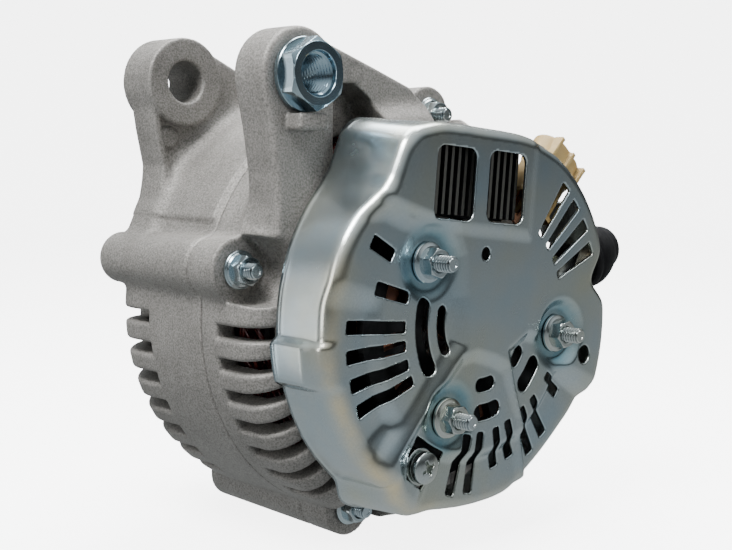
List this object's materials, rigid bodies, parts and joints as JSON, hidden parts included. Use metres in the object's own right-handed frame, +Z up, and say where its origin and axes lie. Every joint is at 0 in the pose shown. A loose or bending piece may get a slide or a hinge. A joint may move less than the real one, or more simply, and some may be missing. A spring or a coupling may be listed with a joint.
{
  "type": "alternator",
  "caption": "Vehicle alternator: vented cast housings with mounting ears, a pressed rear cover with slots and windows, through bolts, claw-pole rotor, stator and ribbed pulley.",
  "frame": {"origin": "centre of the rear cover's flat face, on the rotor's axis", "axes": "+Y along the rotor's axis from the rear cover to the pulley, +Z up, +X to the right seen from the rear"},
  "size_m": [0.1518, 0.147, 0.1583],
  "materials": {
    "cast_aluminium": "sand-textured casting, matt",
    "zinc_sheet": "bright zinc-plated pressed steel sheet with a bluish passivation",
    "zinc_steel": "zinc-plated steel",
    "sleeve_zinc": "zinc-plated steel with a blue passivation",
    "steel": "ground or pressed steel",
    "lamination": "stacked electrical steel, edges lacquered",
    "rotor_iron": "forged steel, lacquered",
    "copper_enamel": "enamelled copper wire, red-brown varnish",
    "copper": "turned copper",
    "carbon": "pressed carbon and copper",
    "black_plastic": "moulded black plastic",
    "brown_plastic": "moulded brown phenolic plastic",
    "tan_plastic": "moulded tan plastic",
    "black_rubber": "moulded black rubber",
    "sink_aluminium": "black-anodised aluminium",
    "pulley_steel": "turned steel, dark phosphate coating"
  },
  "bodies": {
    "housing": {"front_housing": "cast_aluminium", "rear_housing": "cast_aluminium", "rear_cover": "zinc_sheet", "retainer_screw_1": "zinc_steel", "retainer_screw_2": "zinc_steel", "retainer_screw_3": "zinc_steel", "through_bolt_1": "zinc_steel", "through_bolt_2": "zinc_steel", "through_bolt_3": "zinc_steel", "through_bolt_4": "zinc_steel", "through_bolt_nut_1": "zinc_steel", "through_bolt_nut_2": "zinc_steel", "through_bolt_nut_3": "zinc_steel", "through_bolt_nut_4": "zinc_steel", "cover_stud_1": "zinc_steel", "cover_stud_2": "zinc_steel", "cover_stud_3": "zinc_steel", "cover_nut_1": "zinc_steel", "cover_nut_2": "zinc_steel", "cover_nut_3": "zinc_steel", "rectifier_screw": "zinc_steel", "screw_washer": "zinc_steel", "b_terminal_stud": "zinc_steel", "b_terminal_nut": "zinc_steel", "rear_bearing_outer_race": "steel", "front_bearing_outer_race": "steel", "bearing_retainer": "steel", "brush_spring_outer": "steel", "brush_spring_inner": "steel", "stator_core": "lamination", "stator_winding": "copper_enamel", "connector_pins": "copper", "regulator_case": "black_plastic", "brush_holder": "black_plastic", "rectifier_terminal_block": "brown_plastic", "connector_shroud": "tan_plastic", "b_terminal_boot": "black_rubber", "rectifier_positive_plate": "sink_aluminium", "rectifier_negative_plate": "sink_aluminium", "regulator_heat_sink": "sink_aluminium"},
    "rotor": {"rotor_shaft": "steel", "pole_claw_rear": "rotor_iron", "pole_claw_front": "rotor_iron", "field_bobbin": "brown_plastic", "field_coil": "copper_enamel", "rear_fan": "steel", "front_fan": "steel", "slip_ring_sleeve": "black_plastic", "slip_ring_outer": "copper", "slip_ring_inner": "copper", "rear_bearing_inner_race": "steel", "front_bearing_inner_race": "steel", "pulley": "pulley_steel", "pulley_nut": "zinc_steel"},
    "front_cage": {"front_bearing_balls": "steel"},
    "rear_cage": {"rear_bearing_balls": "steel"},
    "brush_outer_body": {"brush_outer": "carbon"},
    "brush_inner_body": {"brush_inner": "carbon"},
    "sleeve": {"mount_sleeve_nut": "sleeve_zinc"}
  },
  "joints": [
    {"name": "rotor_spin", "type": "hinge", "parent": "housing", "child": "rotor", "pos_m": [0, 0, 0], "axis": [0, 1, 0], "continuous": true},
    {"name": "front_cage_spin", "type": "hinge", "parent": "housing", "child": "front_cage", "pos_m": [0, 0.0985, 0], "axis": [0, 1, 0], "continuous": true},
    {"name": "rear_cage_spin", "type": "hinge", "parent": "housing", "child": "rear_cage", "pos_m": [0, 0.0335, 0], "axis": [0, 1, 0], "continuous": true},
    {"name": "brush_outer_slide", "type": "slide", "parent": "housing", "child": "brush_outer_body", "axis": [0, 0, 1], "range_m": [0, 0.005], "stiffness_N_per_m": 300, "springref_m": -0.01, "deforming": ["brush_spring_outer"]},
    {"name": "brush_inner_slide", "type": "slide", "parent": "housing", "child": "brush_inner_body", "axis": [0, 0, 1], "range_m": [0, 0.005], "stiffness_N_per_m": 300, "springref_m": -0.01, "deforming": ["brush_spring_inner"]},
    {"name": "sleeve_slide", "type": "slide", "parent": "housing", "child": "sleeve", "axis": [0, -1, 0], "range_m": [0, 0.003]}
  ],
  "couplings": [
    {"joint": "front_cage_spin", "follows": "rotor_spin", "ratio": 0.4038},
    {"joint": "rear_cage_spin", "follows": "rotor_spin", "ratio": 0.3978}
  ]
}
